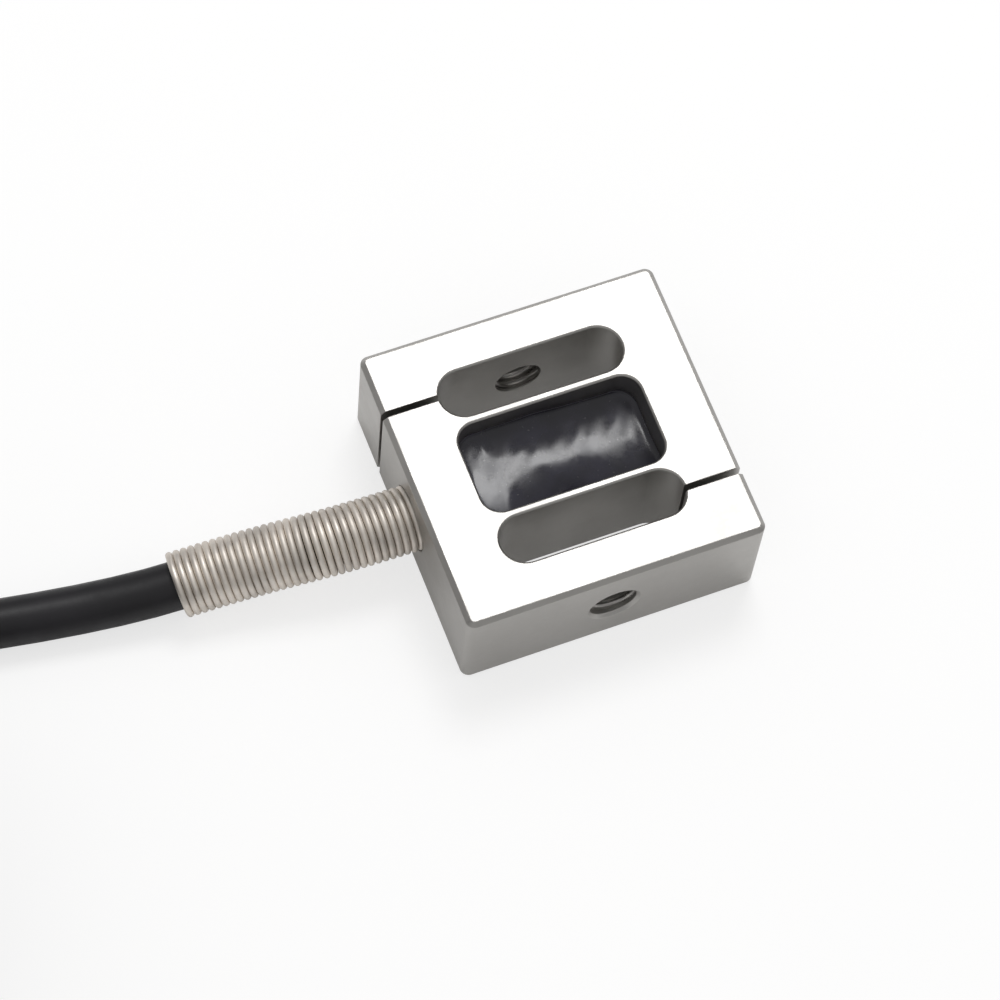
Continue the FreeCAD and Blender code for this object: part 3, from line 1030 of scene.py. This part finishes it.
def tail_end():
    """Where the jacket stops on the coil, and which way it points there."""
    before, last = on_coil(TAIL_ROUTE)
    return last, (last - before).normalized()


def lead_points(sideways, upward, settle_side, settle_height, tip_side, tip_height):
    """A lead's route: out through the sleeve, down, and flat on the turns to its tip."""
    end, along = tail_end()
    outward = along.cross(Vector((0, 0, 1)))
    first = TAIL_ROUTE[-1][2] + upward
    # Millimetres past the jacket's end, to its side and over the turns.
    steps = [
        (0.0, sideways, first),
        (2.4, sideways, first - 0.10),
        (5.2, settle_side, settle_height + 0.10),
        (LEAD_LENGTH - 1.2, (settle_side + tip_side) / 2, tip_height + 0.06),
        (LEAD_LENGTH, tip_side * 0.78, tip_height),
        (LEAD_LENGTH + LEAD_TIP, tip_side, tip_height - 0.18),
    ]
    points = []
    for forward, aside, height in steps:
        place = end + (along * forward + outward * aside) * MM
        points.append(Vector((place.x, place.y, COIL_TOP + height * MM)))
    return points


def strand_lines(points, radius, pitch):
    """Helical strands along a route."""
    core = Track(smooth_line(points))
    return [helix(core, 0.0, core.length, radius, pitch, 12, 2 * math.pi * index / STRANDS)
            for index in range(STRANDS)]


def make_end_sleeve():
    """Sleeving shrunk over the jacket's end, waisted where it has closed on the leads."""
    end, along = tail_end()
    outer = CABLE_RADIUS + SLEEVE_WALL * MM
    profile = [(distance * MM, outer - inset * MM) for distance, inset in SLEEVE_PROFILE]
    sleeve = lathe_piece("shrunk_sleeve", end - along * SLEEVE_BACK * MM, along, profile)
    settle(sleeve, plain_material("shrunk sleeving"), "shrink_sleeve", "end_sleeve")


class LOADCELL_OT_free_end(bpy.types.Operator):
    """Dress the free end: shrunk sleeve, four leads with tinned tips, and the drain wire"""
    bl_idname = "loadcell.free_end"
    bl_label = "Stripped End"

    def execute(self, context):
        look = settings().leads
        make_end_sleeve()
        tips = []
        for name, route in LEADS.items():
            colour = name.split("_")[1]
            points = lead_points(*route)
            curve = nurbs_curve(name + "_wire", points[:-1], look.diameter / 2, resolution=20)
            lead = add_object(name + "_wire", curve)
            settle(lead, insulation_material(colour), "insulation_" + colour, name)
            inside, mouth, tip = points[-3:]
            bare_route = [mouth.lerp(inside, 0.3), mouth, tip]
            tips += strand_lines(bare_route, look.strand * TIP_STRAND_PLACE, TIP_LAY)
        tin = plain_material("tinned strands")
        bare = bars_piece("lead_tip_strands", tips, look.strand / 2, 8)
        settle(bare, tin, "tinned_wire", "lead_tips")
        lines = strand_lines(lead_points(*DRAIN_WIRE), DRAIN_STRAND_PLACE, DRAIN_LAY)
        drain = bars_piece("drain_strands", lines, DRAIN_STRAND_RADIUS, 8)
        settle(drain, tin, "tinned_wire", "drain_wire")
        return {"FINISHED"}


# ---- cable
def squeeze(angle):
    """How tightly a tie holds the turns at an angle: 1 inside it, 0 away from it."""
    nearest = min(abs((angle - tie + 180) % 360 - 180) for tie in TIE_ANGLES.values())
    return eased((TIE_REACH - nearest) / TIE_EASE)


def turn_place(turned, step):
    """The column and layer of the coil, both from 0, after some degrees of turning."""
    stay = 360.0 * TURN_COLUMNS - 2 * step
    column = TURN_COLUMNS - 1.0
    layer = 0.0
    for lap in range(TURN_LAYERS):
        since = turned - stay * lap
        inward = -1 if lap % 2 == 0 else 1
        for passing in range(1, TURN_COLUMNS):
            column += inward * eased((since - 360.0 * passing + 2.5 * step) / (2 * step))
        if lap < TURN_LAYERS - 1:
            layer += eased((since - stay + 1.5 * step) / (2 * step))
    return column, layer


def coil_points(step, per_turn):
    """The control points of the coil's turns, wound inwards and outwards in layers."""
    entry = CABLE_ROUTE[-1] - COIL_MIDDLE
    first = math.degrees(math.atan2(entry.y, entry.x))
    spacing = 360.0 / per_turn
    last = 360.0 * (TURN_LAYERS * TURN_COLUMNS - 1) + CLIMB_ROUTE[0][0] - first
    widen = 1 / math.cos(math.pi / per_turn)
    found = []
    turned = spacing
    while turned < last - spacing * 0.6:
        column, layer = turn_place(turned, step)
        angle = first + turned
        hold = squeeze(angle)
        pitch = TURN_PITCH - hold * TIE_SQUEEZE
        radius = COIL_MID_RADIUS + (column - (TURN_COLUMNS - 1) / 2) * pitch
        low = CABLE_RADIUS + hold * TIE_THICKNESS
        high = COIL_TOP - CABLE_RADIUS - hold * TIE_SQUEEZE
        z = low + (high - low) * layer / (TURN_LAYERS - 1)
        found.append(coil_point(angle, radius * widen, z))
        turned += spacing
    return found


class LOADCELL_OT_cable(bpy.types.Operator):
    bl_idname = "loadcell.cable"
    bl_label = "Cable and Coil"

    def execute(self, context):
        look = settings().cable
        coil = coil_points(math.degrees(look.step), look.points_per_turn)
        route = CABLE_ROUTE + coil + on_coil(CLIMB_ROUTE + TAIL_ROUTE)
        curve = nurbs_curve("cable_jacket", route, CABLE_RADIUS, bevel_resolution=6)
        cable = add_object("cable_jacket", curve)
        settle(cable, jacket_material(), "cable_jacket", "cable", "cable_coil", "cable_tail")
        names = ["spring_wire", "coil_tie_1_nylon", "coil_tie_2_nylon", "shrunk_sleeve",
                 "lead_tip_strands", "drain_strands"]
        names += [lead + "_wire" for lead in LEADS]
        return {"FINISHED"}


# ---- stage
def floor_material():
    """Pale matt floor with the faintest mottling, partly plain white where it's seen."""
    look = settings().stage
    material, tree, shader = plain_finish(
        "pale floor", look.floor, toned(look.floor, 0.985),
        scale=14.0, gloss=(0.85, 0.95), grain=(900.0, 0.001 * MM))
    shader["Specular IOR Level"].default_value = 0.1
    paths = tree.nodes.new("ShaderNodeLightPath").outputs
    mirrored = add_math(tree, "MAXIMUM", paths["Is Glossy Ray"], paths["Is Transmission Ray"])
    mirrored = add_math(tree, "MULTIPLY", mirrored, MIRRORED_SHARE)
    seen = add_math(tree, "MAXIMUM", paths["Is Camera Ray"], mirrored)
    lay_over(tree, shader, add_math(tree, "MULTIPLY", seen, look.evenness), BLACK)
    shader["Emission Color"].default_value = WHITE
    feed(tree, shader["Emission Strength"],
         add_math(tree, "MULTIPLY", seen, look.evenness + look.lift))
    return material


def sky_world():
    """Soft light from above that falls off towards the horizon, white behind the floor."""
    look = settings().stage
    world = bpy.data.worlds.new("soft sky")
    world.use_nodes = True
    tree = world.node_tree
    background = tree.nodes["Background"].inputs
    background["Color"].default_value = SKY_COLOUR
    direction = add_node(tree, "TexCoord", "Generated")
    upward = add_node(tree, "SeparateXYZ", "Z", Vector=direction)
    light = add_range(tree, upward, SKY_LOW, SKY_HIGH, look.horizon, look.sky)
    seen = add_node(tree, "LightPath", "Is Camera Ray")
    feed(tree, background["Strength"], add_math(tree, "MAXIMUM", light, seen))
    return world


def add_camera():
    """The camera, high over the near left corner of the body."""
    camera = bpy.data.cameras.new("camera")
    camera.lens = settings().stage.lens
    camera.sensor_width = SENSOR_WIDTH
    camera.clip_start = 0.01
    viewer = add_object("camera", camera)
    viewer.matrix_world = Matrix.Translation(CAMERA_PLACE) @ Matrix(CAMERA_AXES).to_4x4()
    bpy.context.scene.camera = viewer


def add_soft_box():
    """A square soft light overhead, turned to the body's face."""
    light = bpy.data.lights.new("overhead soft box", "AREA")
    light.shape = "SQUARE"
    light.size = settings().stage.key_size
    light.energy = settings().stage.key_power
    lamp = add_object("overhead soft box", light)
    lamp.location = KEY_PLACE
    facing = Vector((0, 0, BODY_HIGH.z)) - Vector(KEY_PLACE)
    lamp.rotation_euler = facing.to_track_quat("-Z", "Y").to_euler()


class LOADCELL_OT_stage(bpy.types.Operator):
    """Lay the pale floor and set the soft lights, the sky and the camera"""
    bl_idname = "loadcell.stage"
    bl_label = "Floor, Lights and Camera"

    def execute(self, context):
        corners = [(x * FLOOR_REACH, y * FLOOR_REACH, 0)
                   for x, y in ((-1, -1), (1, -1), (1, 1), (-1, 1))]
        floor = mesh_piece("floor", corners, [(0, 1, 2, 3)])
        floor.data.materials.append(floor_material())
        context.scene.world = sky_world()
        add_soft_box()
        add_camera()
        context.scene.view_settings.view_transform = "Standard"
        return {"FINISHED"}


# ---- panel and registration
OPERATORS = (
    LOADCELL_OT_body, LOADCELL_OT_cavity, LOADCELL_OT_spring, LOADCELL_OT_ties,
    LOADCELL_OT_free_end, LOADCELL_OT_cable, LOADCELL_OT_stage,
)


class LOADCELL_PT_panel(bpy.types.Panel):
    """Settings and steps of the load cell"""
    bl_idname = "LOADCELL_PT_panel"
    bl_label = "Load Cell"
    bl_space_type = "VIEW_3D"
    bl_region_type = "UI"
    bl_category = "Load Cell"

    def draw(self, context):
        for operator in OPERATORS:
            self.layout.operator(operator.bl_idname)
        for name in LoadCellSettings.__annotations__:
            box = self.layout.box()
            box.label(text=name.capitalize())
            group = getattr(context.scene.load_cell, name)
            for setting in type(group).__annotations__:
                box.prop(group, setting)


CLASSES = (
    BodySettings, PottingSettings, SpringSettings, CableSettings, TieSettings, LeadSettings,
    StageSettings, LoadCellSettings, *OPERATORS, LOADCELL_PT_panel,
)


def register():
    """Add the classes and the scene's settings."""
    for item in CLASSES:
        bpy.utils.register_class(item)
    bpy.types.Scene.load_cell = PointerProperty(type=LoadCellSettings)


def unregister():
    """Take the classes and the settings away again."""
    del bpy.types.Scene.load_cell
    for item in reversed(CLASSES):
        bpy.utils.unregister_class(item)


def main():
    """Build every piece."""
    register()
    bpy.ops.loadcell.body()
    bpy.ops.loadcell.cavity()
    bpy.ops.loadcell.spring()
    bpy.ops.loadcell.ties()
    bpy.ops.loadcell.free_end()
    bpy.ops.loadcell.cable()
    bpy.ops.loadcell.stage()


if __name__ == "__main__":
    main()
